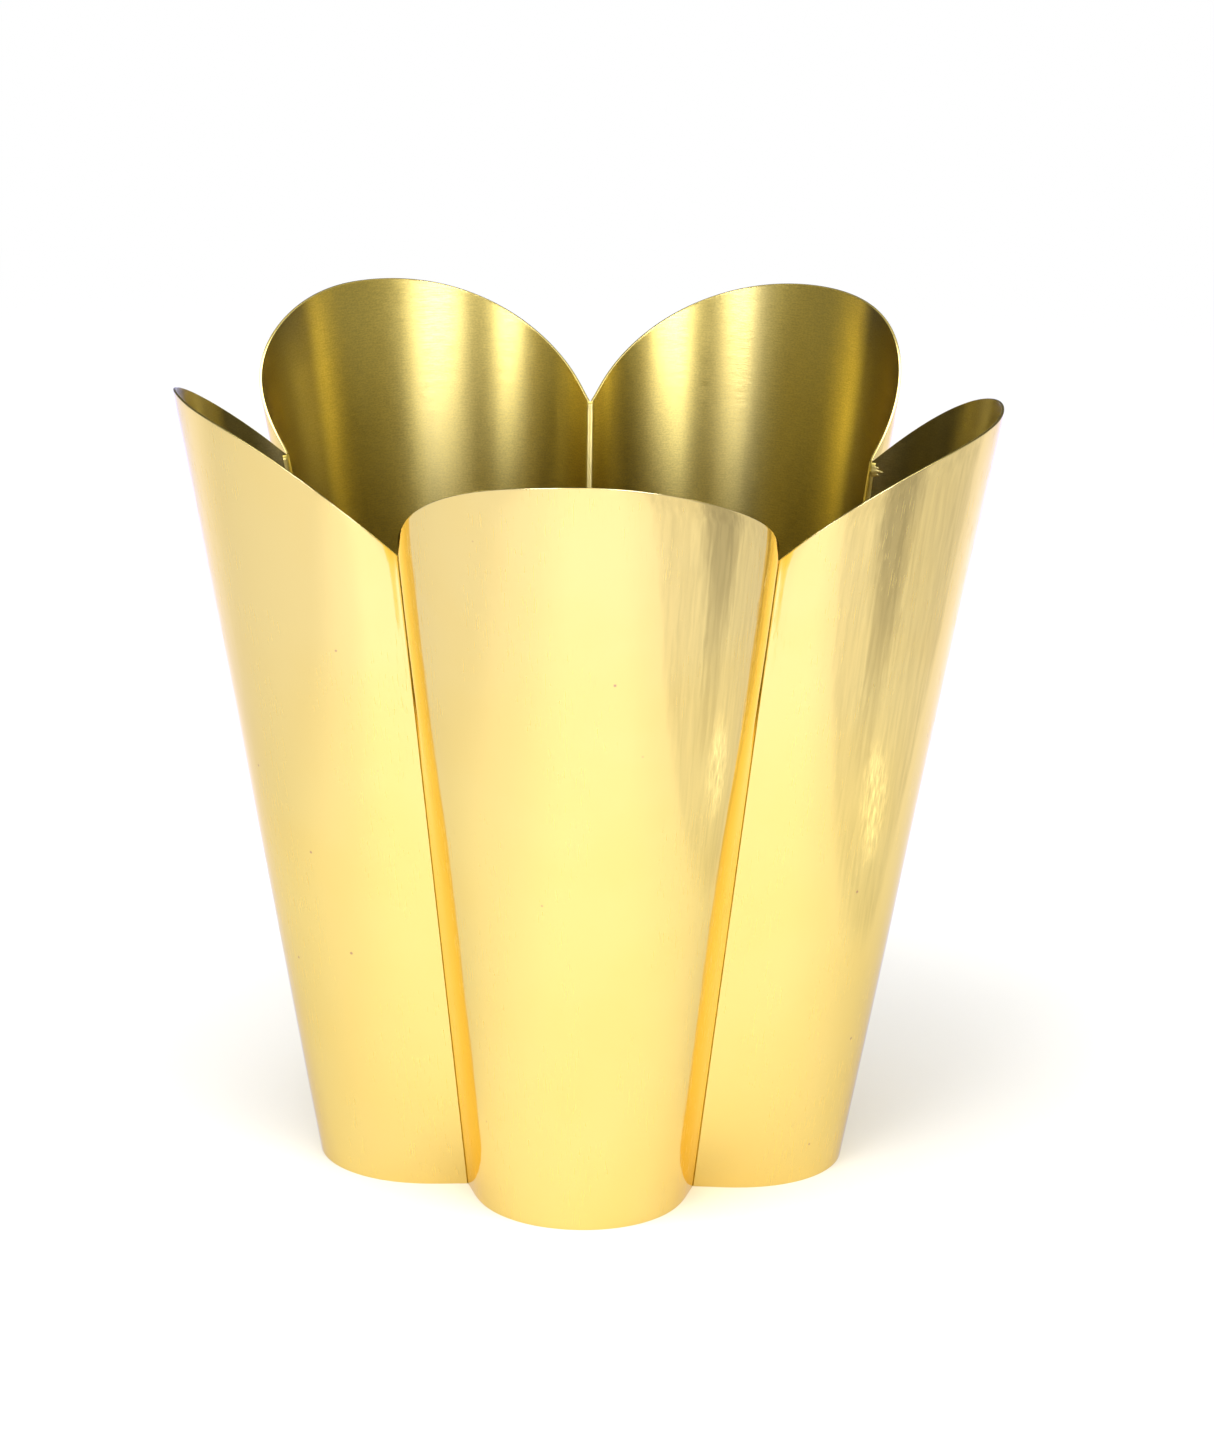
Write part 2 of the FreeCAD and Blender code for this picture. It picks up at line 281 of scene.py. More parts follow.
BRASS = (0.95, 0.715, 0.19, 1.0)
BRASS_WARM = (0.95, 0.70, 0.175, 1.0)
BRASS_GRAZING = (1.0, 0.93, 0.76, 1.0)     # the metal's tint at glancing angles
BRASS_SPECK = (0.62, 0.36, 0.16, 1.0)
BRASS_PALE = (0.95, 0.80, 0.36, 1.0)
SOLDER = (0.95, 0.80, 0.26, 1.0)
SOLDER_DULL = (0.88, 0.72, 0.20, 1.0)
BRASS_INSIDE = (0.74, 0.60, 0.15, 1.0)
BRASS_INSIDE_WARM = (0.71, 0.565, 0.134, 1.0)
BRASS_PAINTED_SHADE = (0.280, 0.230, 0.080, 1.0)  # painted shade: a darker inside colour beside the side seams, dulling the grazing reflections there
UV_PETAL_STEP = 1.7       # each petal has its own stretch of the metres UV, this far apart
UV_TURN = 0.045           # metres of U per radian of a lobe's half ellipse
NOISE_SPAN = (0.3, 0.7)   # nearly all values of a noise lie between these

# Grain of the sheet: cells of noise per metre, round the petal and up it.
WAVE_CELLS = (85.0, 19.0)
LINE_CELLS = (2400.0, 30.0)
STREAK_CELLS = (900.0, 70.0)
SCUFF_CELLS = (2200.0, 120.0)
PATCH_CELLS = (46.0, 16.0)
GRAIN_CELLS = (300.0, 2600.0)
BLAST_CELLS = (1700.0, 1900.0)
BAND_CELLS = (12.0, 420.0)

POLISH_WAVE = 0.10 * MM    # height of the slow waves left by rolling and polishing
POLISH_LINE = 0.0018 * MM  # of the fine polishing lines
STREAK_SHARE = 0.6         # and, as a share of that, of the coarser streaks
WAVES_END = (1.25, 1.45)   # radians from a petal's middle: beside the joints the sheet is true
POLISH_ROUGH = 0.045
STREAK_ROUGH = 0.17        # added by streaks in worn patches
SCUFF_ROUGH = 0.26         # and by scuffs there
SPECK_SCALE = 230.0        # cells per metre that may hold a dark speck
SPECK_SIZE = (0.16, 0.06)  # over this share of its cell a speck fades in
SPECK_RARITY = 0.985       # share of the cells without one

PAINTED_SHADE_TURN = (0.26, 0.42)   # radians from a petal's middle over which the painted shade sets in
PAINTED_SHADE_ASIDE = (0.02, 0.085) # metres to either side of the pot's middle plane, likewise
GRAIN_VALUE = (0.94, 1.05) # how much the brushed grain lightens and darkens
BLAST_VALUE = (-0.08, 0.08)
SATIN_ROUGH = (0.28, 0.36)
ANISOTROPY = 0.45
ALONG_THE_RIM = 0.25       # a quarter turn from the UV's own direction

PLATE_GRAIN = 4200.0       # rings of the round brushing per metre


def polished_brass():
    """Outside of the petals: mirror-like, with upright polishing streaks, scuffs and a few specks."""
    material, g = new_material("brass_polished")
    place = g.add("TexCoord").outputs["Object"]
    waves = sheet_noise(g, WAVE_CELLS, detail=3.0, roughness=0.55)
    lines = sheet_noise(g, LINE_CELLS, detail=3.0, roughness=0.6)
    streaks = sheet_noise(g, STREAK_CELLS, detail=3.0, roughness=0.6)
    scuffs = sheet_noise(g, SCUFF_CELLS, detail=1.0, roughness=0.5)
    patches = sheet_noise(g, PATCH_CELLS, detail=2.0, roughness=0.5)
    clouds = g.noise(place, 22.0, detail=3.0, roughness=0.55)
    worn = g.span(patches, 0.36, 0.56)
    scuff = g.math("MULTIPLY", g.span(scuffs, 0.64, 0.74), worn)
    cells = g.add("TexVoronoi", {"Vector": place, "Scale": SPECK_SCALE}).outputs
    chosen = g.add("SeparateColor", {0: cells["Color"]}).outputs[0]
    speck = g.span(cells["Distance"], *SPECK_SIZE)
    speck = g.math("MULTIPLY", speck, g.math("GREATER_THAN", chosen, SPECK_RARITY))
    colour = g.mix(g.span(clouds, 0.35, 0.7), BRASS, BRASS_WARM)
    colour = g.mix(speck, colour, BRASS_SPECK)
    rough = g.math("MULTIPLY", g.span(streaks, 0.50, 0.75, 0.0, STREAK_ROUGH), worn)
    rough = g.math("ADD", POLISH_ROUGH, rough)
    rough = g.math("ADD", rough, g.math("MULTIPLY", scuff, SCUFF_ROUGH))
    height = g.math("MULTIPLY", waves, g.span(turned_from_middle(g), *WAVES_END, POLISH_WAVE, 0.0))
    height = g.math("MULTIPLY_ADD", lines, POLISH_LINE, height)
    height = g.math("MULTIPLY_ADD", streaks, STREAK_SHARE * POLISH_LINE, height)
    g.metal(colour, rough, height, more={"Specular Tint": BRASS_GRAZING})
    return material


def brushed_brass():
    """Inside of the petals: satin, brushed along the rim, and darkened by painted shade beside the side
    seams.
    """
    material, g = new_material("brass_brushed")
    grain = sheet_noise(g, GRAIN_CELLS, detail=2.0, roughness=0.6)
    blast = sheet_noise(g, BLAST_CELLS, detail=2.0, roughness=0.6)
    bands = sheet_noise(g, BAND_CELLS, detail=2.0, roughness=0.5)
    place = g.add("TexCoord").outputs["Object"]
    clouds = g.noise(place, 16.0, detail=3.0, roughness=0.5)
    colour = g.mix(g.span(clouds, *NOISE_SPAN), BRASS_INSIDE, BRASS_INSIDE_WARM)
    value = g.math("ADD", g.span(grain, *NOISE_SPAN, *GRAIN_VALUE), g.span(blast, *NOISE_SPAN, *BLAST_VALUE))
    aside = g.math("ABSOLUTE", g.add("SeparateXYZ", {0: place}).outputs["X"])
    # painted shade: the inside is drawn darker beside the side seams, to dull the grazing reflections there
    painted_shade = g.math("MULTIPLY", g.span(turned_from_middle(g), *PAINTED_SHADE_TURN), g.span(aside, *PAINTED_SHADE_ASIDE))
    colour = g.mix(painted_shade, colour, BRASS_PAINTED_SHADE)
    colour = g.add("VectorMath", {0: colour, 3: value}, operation="SCALE").outputs[0]
    rough = g.math("ADD", g.span(grain, *NOISE_SPAN, *SATIN_ROUGH), g.span(bands, 0.35, 0.7, 0.0, 0.02))
    tangent = g.add("Tangent", direction_type="UV_MAP", uv_map=UV_NAME).outputs[0]
    brushing = {"Anisotropic": ANISOTROPY, "Anisotropic Rotation": ALONG_THE_RIM, "Tangent": tangent}
    g.metal(colour, rough, grain, strength=0.04, distance=0.02 * MM, more=brushing)
    return material


def cut_edge_brass():
    """Sheared and deburred sheet edges."""
    material, g = new_material("brass_cut_edge")
    nicks = g.noise(g.add("TexCoord").outputs["Object"], 500.0, detail=2.0, roughness=0.6)
    rough = g.span(nicks, *NOISE_SPAN, 0.11, 0.18)
    g.metal(BRASS_PALE, rough, nicks, strength=0.05, distance=0.02 * MM)
    return material


def brazing_solder():
    """Pale, dull brazing alloy, with the grain of a file here and there."""
    material, g = new_material("solder_brazed")
    place = g.add("TexCoord").outputs["Object"]
    lumps = g.noise(place, 420.0, detail=3.0, roughness=0.6)
    clouds = g.noise(place, 60.0, detail=2.0, roughness=0.5)
    colour = g.mix(g.span(clouds, 0.35, 0.65), SOLDER, SOLDER_DULL)
    rough = g.span(lumps, *NOISE_SPAN, 0.28, 0.38)
    g.metal(colour, rough, lumps, strength=0.05, distance=0.15 * MM)
    return material


def base_brass():
    """The base plate: satin sheet with round brushing and faint water marks."""
    material, g = new_material("brass_base")
    place = g.add("TexCoord").outputs["Object"]
    radius = g.add("VectorMath", {0: place}, operation="LENGTH").outputs["Value"]
    rings = g.vector(g.math("MULTIPLY", radius, PLATE_GRAIN), 0.0)
    grain = g.noise(rings, 1.0, detail=3.0, roughness=0.6, dimensions="2D")
    marks = g.noise(place, 38.0, detail=4.0, roughness=0.6)
    colour = g.mix(g.span(marks, 0.4, 0.65), BRASS_INSIDE, BRASS_INSIDE_WARM)
    rough = g.math("ADD", g.span(grain, *NOISE_SPAN, 0.26, 0.36), g.span(marks, 0.4, 0.7, 0.0, 0.12))
    g.metal(colour, rough, grain, strength=0.2, distance=0.03 * MM)
    return material


# ---------------------------------------------------------------- petals

SIDE_ROUND = 0.28 * MM    # radius of the deburred side edges
EDGE_ROUND = 0.16 * MM    # and of the rim and foot
ROUND_STEPS = 4
SUPPORT = 0.5 * MM        # rows this far apart beside an edge keep its rounding crisp
SUPPORT_COLUMNS = 4
LOBE_COLUMNS = 112
LOBE_SHARE = 0.955        # of the half ellipse, which those columns cover
WALL_ROWS = 44
RIM_WEAR = 0.17 * MM      # buffing has taken this off the outside at the rim
RIM_WEAR_REACH = 1.5 * MM # and fades out about this far down
DENT = 0.16 * MM          # how far the hand-rolled sheet wanders from true
DENT_SCALE = (1.1, 17.0)  # waves of that per radian and per metre of height
DENT_SEED = (7.0, 0.7)    # keeps the petals apart in the noise
OUTSIDE, INSIDE, CUT = 0, 1, 2  # material slots of a petal


def corner_inset(distance):
    """How far a rounded edge has drawn in, this far from the end of the sheet."""
    if distance >= SIDE_ROUND:
        return 0.0
    return SIDE_ROUND - math.sqrt(SIDE_ROUND ** 2 - (SIDE_ROUND - distance) ** 2)


def petal_columns():
    """(side, distance from the cut edge, angle): the first two are None away from the cut edges."""
    near = [SIDE_ROUND * (1 - math.cos(math.pi / 2 * i / ROUND_STEPS)) for i in range(ROUND_STEPS)]
    near += [SIDE_ROUND + steps * SUPPORT for steps in range(SUPPORT_COLUMNS + 1)]
    columns = [(-1, d, None) for d in near]
    last = math.pi / 2 * LOBE_SHARE
    columns += [(None, None, -last + 2 * last * i / LOBE_COLUMNS) for i in range(LOBE_COLUMNS + 1)]
    columns += [(1, d, None) for d in reversed(near)]
    return columns


def petal_profile(top):
    """The sheet's section at one column, up its outside and down its inside.

    Each point is its share of the thickness, its height and the slot of the next face.
    """
    steps = [math.pi / 2 * i / ROUND_STEPS for i in range(1, ROUND_STEPS + 1)]
    low, high = EDGE_ROUND, top - EDGE_ROUND
    between = high - low - 2 * SUPPORT
    heights = [low, low + SUPPORT]
    heights += [low + SUPPORT + between * i / WALL_ROWS for i in range(1, WALL_ROWS)]
    heights += [high - SUPPORT, high]
    round_share = EDGE_ROUND / SHEET
    sole = [(round_share * (1 - math.cos(s)), low - EDGE_ROUND * math.sin(s), CUT) for s in steps]
    wall = [(0.0, z, OUTSIDE) for z in heights]
    crest = [(round_share * (1 - math.cos(s)), high + EDGE_ROUND * math.sin(s), CUT) for s in steps]
    outer = list(reversed(sole)) + wall + crest
    inner = [(1 - share, z, slot) for share, z, slot in reversed(outer)]
    return outer, inner


def petal_faces(columns, outer_slots):
    """Faces and their slots, for this many columns that each run once round the sheet's section."""
    half = len(outer_slots)
    size = 2 * half
    faces, slots = [], []

    def slot_between(i, j, wall_slot):
        both = outer_slots[i] == OUTSIDE and outer_slots[j] == OUTSIDE
        return wall_slot if both else CUT

    for column in range(columns - 1):
        start, following = column * size, (column + 1) * size
        for i in range(size):
            j = (i + 1) % size
            faces.append((start + i, following + i, following + j, start + j))
            if i < half:
                slots.append(slot_between(i, i + 1, OUTSIDE) if i + 1 < half else CUT)
            else:
                mirror = size - 1 - i
                slots.append(slot_between(mirror, mirror - 1, INSIDE))
    for base, flip in ((0, False), ((columns - 1) * size, True)):
        for i in range(half - 1):
            quad = (base + i, base + i + 1, base + size - 2 - i, base + size - 1 - i)
            faces.append(tuple(reversed(quad)) if flip else quad)
            slots.append(CUT)
    return faces, slots


def make_petal(label, direction, number, materials):
    """The sheet of one petal, as a fine closed mesh with rounded edges and slightly wandering walls."""
    verts, uvs = [], []
    columns = petal_columns()
    higher_clockwise, higher_peak, higher_counter, slim_clockwise, slim_counter = HAND_WORK[label]
    for side, distance, angle in columns:
        probe = angle if side is None else side * math.acos(distance / lobe_depth(SEAM_Z))
        shoulder = higher_clockwise if probe < 0 else higher_counter
        higher = shoulder * math.sin(2 * probe) ** 2 + higher_peak * math.cos(probe) ** 4
        top = rim_height(probe) + higher * MM
        outer, inner = petal_profile(top)
        draw_in = 0.0 if side is None else corner_inset(distance)
        for share, z, _slot in outer + inner:
            here = probe if side is None else side * math.acos(distance / lobe_depth(z))
            seed = DENT_SEED[0] * number
            wander = noise.noise(Vector((here * DENT_SCALE[0] + seed, z * DENT_SCALE[1], DENT_SEED[1])))
            wander *= DENT * math.cos(here)
            wear = RIM_WEAR * math.exp(-(top - z) / RIM_WEAR_REACH)
            inset = draw_in + share * (SHEET - 2 * draw_in) + wander + wear * (1 - share)
            slim = slim_clockwise if here < 0 else slim_counter
            slim *= MM * math.sin(2 * here) ** 2 * z / PEAK_Z
            point = lobe_point(here, z, inset)
            point.y -= math.copysign(slim, here)
            verts.append(turn_about_axis(point, direction))
            uvs.append((here * UV_TURN + UV_PETAL_STEP * number, z))
    faces, slots = petal_faces(len(columns), [slot for _share, _z, slot in outer])
    return add_mesh(label + "_sheet", verts, faces, uvs, slots, materials)


def round_the_petals(per_lobe):
    """(direction, angle) of the stations round the pot, counter-clockwise, cut edge to cut edge."""
    for direction in sorted(PETALS.values()):
        for i in range(per_lobe + 1):
            yield direction, math.pi * (i / per_lobe - 0.5)


def ring_faces(rows, size, closed=False):
    """Quads between consecutive rows of size vertices; each row runs right round."""
    faces = []
    for row in range(rows if closed else rows - 1):
        start, following = row * size, (row + 1) % rows * size
        for i in range(size):
            j = (i + 1) % size
            faces.append((start + i, start + j, following + j, following + i))
    return faces


# ---------------------------------------------------------------- solder

SEAM_ROWS = 150
CROWN_STEPS = 8
CROWN_BASE = 0.12 * MM     # height of the solder's crown over the V at its edges
SOLDER_CROWN = 0.12 * MM   # and what its middle adds
SOLDER_BELOW = 0.25 * MM   # the solder ends this far below the rim
SOLDER_TUCK = 0.34 * MM    # how far the solder stays back from the V's point
SOLDER_SPREAD = {  # node: mm the solder has crept along the petal's inside, clockwise and counter-clockwise
    "solder_seam_front_right": (0.5, 0.5),
    "solder_seam_right": (1.7, 0.3),
    "solder_seam_back": (0.45, 0.45),
    "solder_seam_left": (0.3, 1.6),
    "solder_seam_front_left": (0.5, 0.5),
}
SOLDER_KNOB = {  # node: how much thicker the crown is at the seam's top
    "solder_seam_front_right": 0.3,
    "solder_seam_right": 0.5,
    "solder_seam_back": 1.5,
    "solder_seam_left": 0.2,
    "solder_seam_front_left": 0.3,
}
KNOB_REACH = 1.4 * MM
SEAM_SEED = 5.0            # keeps the seams apart in the noise
SWELL = (0.14, 90.0)       # how unevenly the crown was laid, and waves of that per metre
RIPPLE = (0.05, 500.0)     # its finer ripples, likewise
CREEP = (0.5, 90.0)        # and how unevenly its edges have crept
FILM = 0.14 * MM           # thickness, at the seam, of the solder that crept
FILM_ROOT = 0.3 * MM       # how deep the film's outer edge sinks into the sheet
FILM_SHARES = (1.0, 0.9, 0.7, 0.45, 0.2)


def film_point(radius, z, side, along, rise):
    """A point over a petal's inside face, along from its cut edge; side is +1 counter-clockwise."""
    corner = Vector((radius - V_DEPTH, side * V_HALF_WIDTH))
    wall = Vector((math.cos(HALF_SECTOR), side * math.sin(HALF_SECTOR)))
    out = Vector((-math.sin(HALF_SECTOR), side * math.cos(HALF_SECTOR)))
    return corner + along * wall + (rise + flat_end(along, z)) * out


def film_section(radius, z, side, spread):
    """The film of solder over one petal's inside, from its sunk edge to the seam."""
    section = [film_point(radius, z, side, spread, -FILM_ROOT)]
    for share in FILM_SHARES:
        rise = FILM * (1.1 * math.sqrt(1 - share) - 0.1)
        section.append(film_point(radius, z, side, spread * share, rise))
    return section


def make_seam(label, direction, number, material):
    """Solder in the V between two petals, with a slightly uneven crown and feathered edges."""
    verts = []
    top = SEAM_Z - SOLDER_BELOW
    clockwise, counter = SOLDER_SPREAD[label]
    seed = number * SEAM_SEED
    for row in range(SEAM_ROWS + 1):
        z = top * row / SEAM_ROWS
        radius = seam_radius(z)
        swell = 1.0 + SWELL[0] * noise.noise(Vector((seed, z * SWELL[1], 0.0)))
        swell += RIPPLE[0] * noise.noise(Vector((seed + 2.0, z * RIPPLE[1], 0.0)))
        swell += SOLDER_KNOB[label] * math.exp(-(((top - z) / KNOB_REACH) ** 2))
        creep = 1.0 + CREEP[0] * noise.noise(Vector((seed + 4.0, z * CREEP[1], 0.0)))
        ring = [Vector((radius - SOLDER_TUCK, 0.0))]
        ring += film_section(radius, z, 1, counter * MM * creep)
        for i in range(CROWN_STEPS + 1):
            share = 2 * i / CROWN_STEPS - 1
            bulge = SOLDER_CROWN * swell * (1 - share * share) + CROWN_BASE
            ring.append(Vector((radius - V_DEPTH - bulge, -share * V_HALF_WIDTH)))
        ring += reversed(film_section(radius, z, -1, clockwise * MM * creep))
        verts += [turn_about_axis(Vector((x, y, z)), direction) for x, y in ring]
    size = len(verts) // (SEAM_ROWS + 1)
    faces = [tuple(reversed(face)) for face in ring_faces(SEAM_ROWS + 1, size)]
    faces.append(tuple(range(size)))
    faces.append(tuple(reversed(range(SEAM_ROWS * size, (SEAM_ROWS + 1) * size))))
    if label == SMEARED_SEAM:
        add_smear(verts, faces)
    return add_mesh(label + "_fill", verts, faces, materials=[material])


SMEARED_SEAM = "solder_seam_right"
SMEARED_PETAL = "petal_right"
SMEAR_ROWS = 48
SMEAR_STEPS = 26
SMEAR_REACH = 5.4 * MM     # of its mesh along the petal, beyond the longest stroke
SMEAR_LOW = 6.6 * MM       # its bottom, top and middle, below the seam's top
SMEAR_HIGH = 0.3 * MM
SMEAR_MIDDLE = 3.0 * MM
SMEAR_SPREAD = 1.9 * MM    # how far from its middle the smear thins out
SMEAR_HEIGHT = 0.26 * MM
SMEAR_SHORT = 0.3 * MM     # length of its shortest strokes
SMEAR_LONG = 4.3 * MM      # and what the longest add
STROKE_STEP = 1.35 * MM    # from one stroke to the next
STROKE_SHARE = 0.20        # how much the strokes differ in length
SMEAR_SUNK = 0.12 * MM     # how deep the mesh lies in the sheet beyond the strokes
SMEAR_LUMPS = (700.0, 1100.0, 4.0)  # lumps per metre along and down, and their seed


def add_smear(verts, faces):
    """A blob of solder at one seam's top, wiped in ragged strokes over the petal's inside."""
    base = len(verts)
    direction = PETALS[SMEARED_PETAL]
    for row in range(SMEAR_ROWS + 1):
        below = SMEAR_HIGH + (SMEAR_LOW - SMEAR_HIGH) * row / SMEAR_ROWS
        z = SEAM_Z - below
        fingers = 1 - STROKE_SHARE + STROKE_SHARE * math.sin(2 * math.pi * below / STROKE_STEP + 0.6)
        bell = math.exp(-(((below - SMEAR_MIDDLE) / SMEAR_SPREAD) ** 2))
        reach = SMEAR_SHORT + SMEAR_LONG * bell * fingers
        front, back = [], []
        for step in range(SMEAR_STEPS + 1):
            along = SMEAR_REACH * step / SMEAR_STEPS
            left = 1 - along / reach
            cell = Vector((along * SMEAR_LUMPS[0], below * SMEAR_LUMPS[1], SMEAR_LUMPS[2]))
            lump = 0.85 + 0.35 * noise.noise(cell)
            if left > 0:
                rise = SMEAR_HEIGHT * bell * lump * math.sqrt(left)
            else:
                rise = SMEAR_SUNK * max(-1.0, 2 * left)
            angle = math.acos(along / lobe_depth(z))
            front.append(turn_about_axis(lobe_point(angle, z, SHEET + rise), direction))
            back.append(turn_about_axis(lobe_point(angle, z, 0.6 * SHEET), direction))
        verts += front + list(reversed(back))
    size = 2 * (SMEAR_STEPS + 1)
    for face in ring_faces(SMEAR_ROWS + 1, size):
        faces.append(tuple(base + i for i in face))
    faces.append(tuple(base + i for i in reversed(range(size))))
    faces.append(tuple(base + SMEAR_ROWS * size + i for i in range(size)))


# ---------------------------------------------------------------- base plate and its solder

PLATE_LOBE_STEPS = 40
PLATE_ROUND = 0.35 * MM   # how far its softened edges reach
PLATE_RINGS = 14
PLATE_SAG = 0.20 * MM     # the sheet of the plate isn't quite flat
SAG_SCALE = 24.0          # waves of that per metre
ARC_MIDDLE = 0.3          # how far in the middle of a rounded edge lies, as a share of its radius


def make_base_plate(label, material):
    """The lobed plate between the petals, with softened edges and a slightly uneven face."""
    low, high = plate_low.z, plate_high.z
    middle = ARC_MIDDLE * PLATE_ROUND
    edge = [(PLATE_ROUND, low), (middle, low + middle), (0.0, low + PLATE_ROUND)]
    edge += [(inset, low + high - z) for inset, z in reversed(edge)]
    stations = list(round_the_petals(PLATE_LOBE_STEPS))
    rows = [[] for _ in edge]
    for direction, angle in stations:
        for row, (inset, z) in zip(rows, edge):
            point = lobe_point(angle, z, SHEET + BASE_GAP + inset)
            row.append(turn_about_axis(point, direction))

    def inward(rim):
        """Ever smaller copies of the rim, sagging a little."""
        for step in range(1, PLATE_RINGS + 1):
            share = 1 - step / (PLATE_RINGS + 0.5)
            ring = []
            for point in rim:
                x, y = share * point.x, share * point.y
                sag = PLATE_SAG * noise.noise(Vector((x * SAG_SCALE, y * SAG_SCALE, 3.0)))
                ring.append(Vector((x, y, point.z + sag)))
            yield ring

    below, above = list(inward(rows[0])), list(inward(rows[-1]))
    layers = list(reversed(below)) + rows + above
    verts = [point for layer in layers for point in layer]
    size = len(stations)
    faces = ring_faces(len(layers), size)
    for layer, flip in ((0, True), (len(layers) - 1, False)):
        centre = len(verts)
        level = sum(v.z for v in layers[layer]) / size
        verts.append(Vector((0.0, 0.0, level)))
        for i in range(size):
            pair = (layer * size + i, layer * size + (i + 1) % size)
            faces.append((*(reversed(pair) if flip else pair), centre))
    uvs = [(v.x, v.y) for v in verts]
    return add_mesh(label + "_sheet", verts, faces, uvs, materials=[material])


BEAD_LOBE_STEPS = 90
BEAD_FACE_STEPS = 6
BEAD_REACH = 0.8          # of the drop below the plate: how far the fillet reaches over it
BEAD_SKIN = 0.1 * MM      # thickness where it thins out down the petal's wall
BEAD_FALL = 0.95          # share of the drop that the fillet takes
BEAD_SOLE = 0.97          # and that its lower end takes
BEAD_RIPPLES = (0.18, 0.31, 0.5)  # share, steps of noise per station, seed
BEAD_FINER = (0.10, 1.3, 2.5)


def make_bead(label, material):
    """The run of solder under the base plate: a hollow fillet with the ripples of a moving torch."""
    drop = plate_low.z - bead_low.z
    verts = []
    for number, (direction, angle) in enumerate(round_the_petals(BEAD_LOBE_STEPS)):
        ripple = 1.0
        for share, step, seed in (BEAD_RIPPLES, BEAD_FINER):
            ripple += share * noise.noise(Vector((number * step, seed, 0.0)))
        section = [(0.0, plate_low.z)]
        for i in range(BEAD_FACE_STEPS + 1):
            turn = math.pi / 2 * i / BEAD_FACE_STEPS
            reach = drop * ripple * (1 - math.sin(turn)) * BEAD_REACH + BEAD_SKIN
            fall = drop * (1 - math.cos(turn)) * BEAD_FALL
            section.append((reach, plate_low.z - fall))
        section.append((0.0, plate_low.z - drop * BEAD_SOLE))
        for reach, z in section:
            point = lobe_point(angle, z, SHEET + reach)
            verts.append(turn_about_axis(point, direction))
    size = BEAD_FACE_STEPS + 3
    faces = ring_faces(len(verts) // size, size, closed=True)
    return add_mesh(label + "_run", verts, faces, materials=[material])


# ---------------------------------------------------------------- floor, for the camera and in the metal

WHITE = (1.0, 1.0, 1.0, 1.0)
FLOOR_REACH = 6.0
FLOOR_WHITE = (0.915, 0.915, 0.905, 1.0)
FLOOR_WHITER = (0.93, 0.93, 0.92, 1.0)
FLOOR_TO_WHITE = (0.4, 1.2)    # metres out over which the camera's view of the floor fades to white
PAINTED_REFLECTION_LEVEL = 0.665         # painted reflection: brightness of the floor in the metal, as a share of its real one
# painted reflection: the floor's tint as only the metal sees it, bluer further out
PAINTED_TINT_NEAR = (1.0, 1.03, 1.36, 1.0)
PAINTED_TINT_FAR = (1.0, 1.04, 1.68, 1.0)
TINT_CHANGE = (0.20, 0.45)

# Slow changes of that brightness: where each starts and ends, in metres, and its level before and after.
POOL_LEFT = (-0.20, -0.34, 1.0, 0.87)
POOL_RIGHT = (0.32, 0.50, 1.0, 0.90)
POOL_CORE = (0.06, 0.24, 1.15, 1.0)       # to either side of its middle
POOL_MIDDLE_X = 0.02
POOL_BEHIND = (0.15, 0.50, 1.0, 1.28)
POOL_FOOT = (0.09, 0.28, 0.97, 1.0)       # beside the pot's foot
POOL_FAR = (0.85, 1.87, 1.0, 0.55)

BOARD_EDGE = (0.22, 0.255)     # a duller board, painted into the floor as only the metal sees it, lies from here to the right
BOARD_BACK = (1.07, -0.2175)   # slope and offset of its back edge, a line over x
BOARD_BACK_SOFT = (0.03, -0.01)
BOARD_RAGGED = 0.03            # how far its left edge wanders
BOARD_LEVEL = (0.78, 0.92)
STAND_TURN = -24.0             # a painted dark thing, seen only in the metal, stands on it in this direction from the pot, degrees
STAND_RAGGED = 9.0             # degrees
STAND_WIDTH = (0.27, 0.50, 3.0, 17.0)  # from and to this far out it widens between these degrees
STAND_EDGE = (0.3, 1.15)       # shares of the width between which it fades
STAND_NEAR = (0.29, 0.47)      # it sets in over this distance from the pot
STAND_LEVEL = 0.60
GLINT = (0.300, -0.045, 0.0)   # a painted glint, a small bright thing seen only in the metal, lies in front of it
GLINT_SHAPE = (1.3, 0.75, 1.0) # scales its distance, so that it is longer than wide
GLINT_SIZE = (0.062, 0.018)
GLINT_BREAKS = (0.47, 0.60)
GLINT_GAIN = 0.75
SPOKES = (0.45, 16.0)          # streaks away from the pot: cells of noise per degree and per metre
STROKES = (1.7, 90.0)


def painted_board_reflection(g, place, x, y, spokes):
    """How much a painted board at the right, seen only in the metal, takes from the floor's brightness."""
    wander = g.noise(place, 9.0, detail=3.0, roughness=0.6)
    edge = g.math("ADD", x, g.math("MULTIPLY", wander, BOARD_RAGGED))
    beyond = g.math("SUBTRACT", y, g.math("MULTIPLY_ADD", x, *BOARD_BACK))
    board = g.math("MULTIPLY", g.span(edge, *BOARD_EDGE), g.span(beyond, *BOARD_BACK_SOFT))
    level = g.span(spokes, 0.25, 0.75, *BOARD_LEVEL)
    return g.math("SUBTRACT", 1.0, g.math("MULTIPLY", board, g.math("SUBTRACT", 1.0, level)))


def painted_stand_reflection(g, distance, turn, spokes):
    """How much a painted dark thing at the right, seen only in the metal, takes from it, widening away from
    the pot.
    """
    aside = g.math("ABSOLUTE", g.math("SUBTRACT", turn, STAND_TURN))
    aside = g.math("ADD", aside, g.math("MULTIPLY", g.math("SUBTRACT", spokes, 0.5), STAND_RAGGED))
    share = g.math("DIVIDE", aside, g.span(distance, *STAND_WIDTH))
    stand = g.math("MULTIPLY", g.span(share, *STAND_EDGE, 1.0, 0.0), g.span(distance, *STAND_NEAR))
    return g.math("SUBTRACT", 1.0, g.math("MULTIPLY", stand, 1.0 - STAND_LEVEL))


